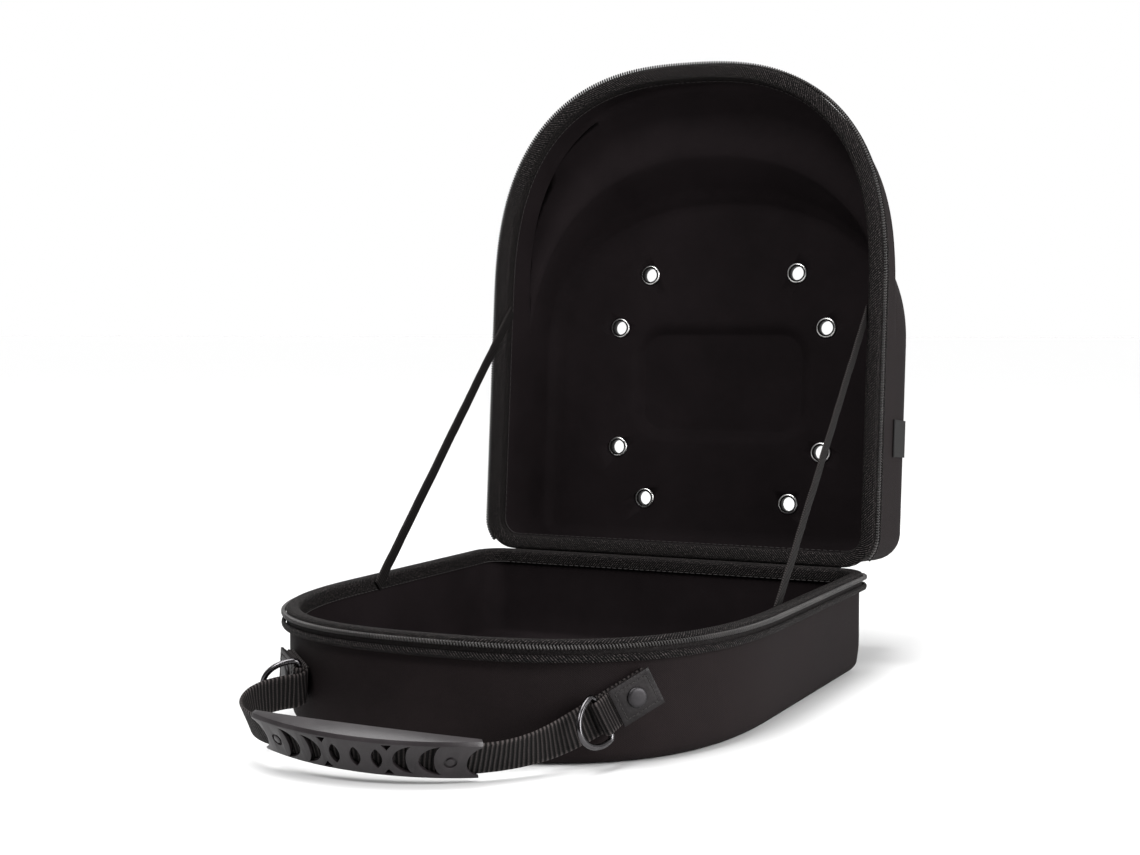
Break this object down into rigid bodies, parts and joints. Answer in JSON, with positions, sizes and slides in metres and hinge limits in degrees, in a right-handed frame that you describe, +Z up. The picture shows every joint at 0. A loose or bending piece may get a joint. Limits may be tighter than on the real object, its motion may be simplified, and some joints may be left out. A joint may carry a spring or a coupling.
{
  "type": "baseball cap carrier case",
  "caption": "Moulded zip case for carrying caps, open on its cloth hinge: a shallow tray and a deep vented lid with one rounded end, stay straps and a webbing handle with a moulded grip",
  "frame": {"origin": "centre of the tray's flat underside, midway between the hinge axis and the tip of the rounded end", "axes": "+Z up; the rounded end with the handle faces -Y; the hinge and the standing lid are at +Y; +X is to the right as seen from the handle"},
  "size_m": [0.2396, 0.424, 0.3349],
  "materials": {
    "shell": "matt cloth laminated on moulded foam",
    "twill": "twill tape",
    "tape": "woven tape",
    "teeth": "coil zip",
    "webbing": "ribbed webbing",
    "grip": "moulded soft plastic",
    "patch": "fine grain",
    "label": "plain woven label",
    "nickel": "satin nickel",
    "dark_metal": "dark plated"
  },
  "bodies": {
    "root": {"base_shell": "shell", "base_binding": "twill", "base_zip_tape": "tape", "base_zip_teeth": "teeth", "base_piping": "twill", "hinge_strip": "twill", "tether_left": "webbing", "tether_right": "webbing", "zip_slider": "dark_metal", "zip_pull": "dark_metal", "lid_shell": "shell", "lid_binding": "twill", "lid_zip_tape": "tape", "lid_zip_teeth": "teeth", "lid_piping": "twill", "eyelet_1": "nickel", "eyelet_2": "nickel", "eyelet_3": "nickel", "eyelet_4": "nickel", "eyelet_5": "nickel", "eyelet_6": "nickel", "eyelet_7": "nickel", "eyelet_8": "nickel", "side_label": "label", "handle_webbing": "webbing", "handle_grip": "grip", "loop_left": "webbing", "d_ring_left": "nickel", "patch_left": "patch", "rivet_left": "dark_metal", "loop_right": "webbing", "d_ring_right": "nickel", "patch_right": "patch", "rivet_right": "dark_metal"}
  },
  "joints": []
}
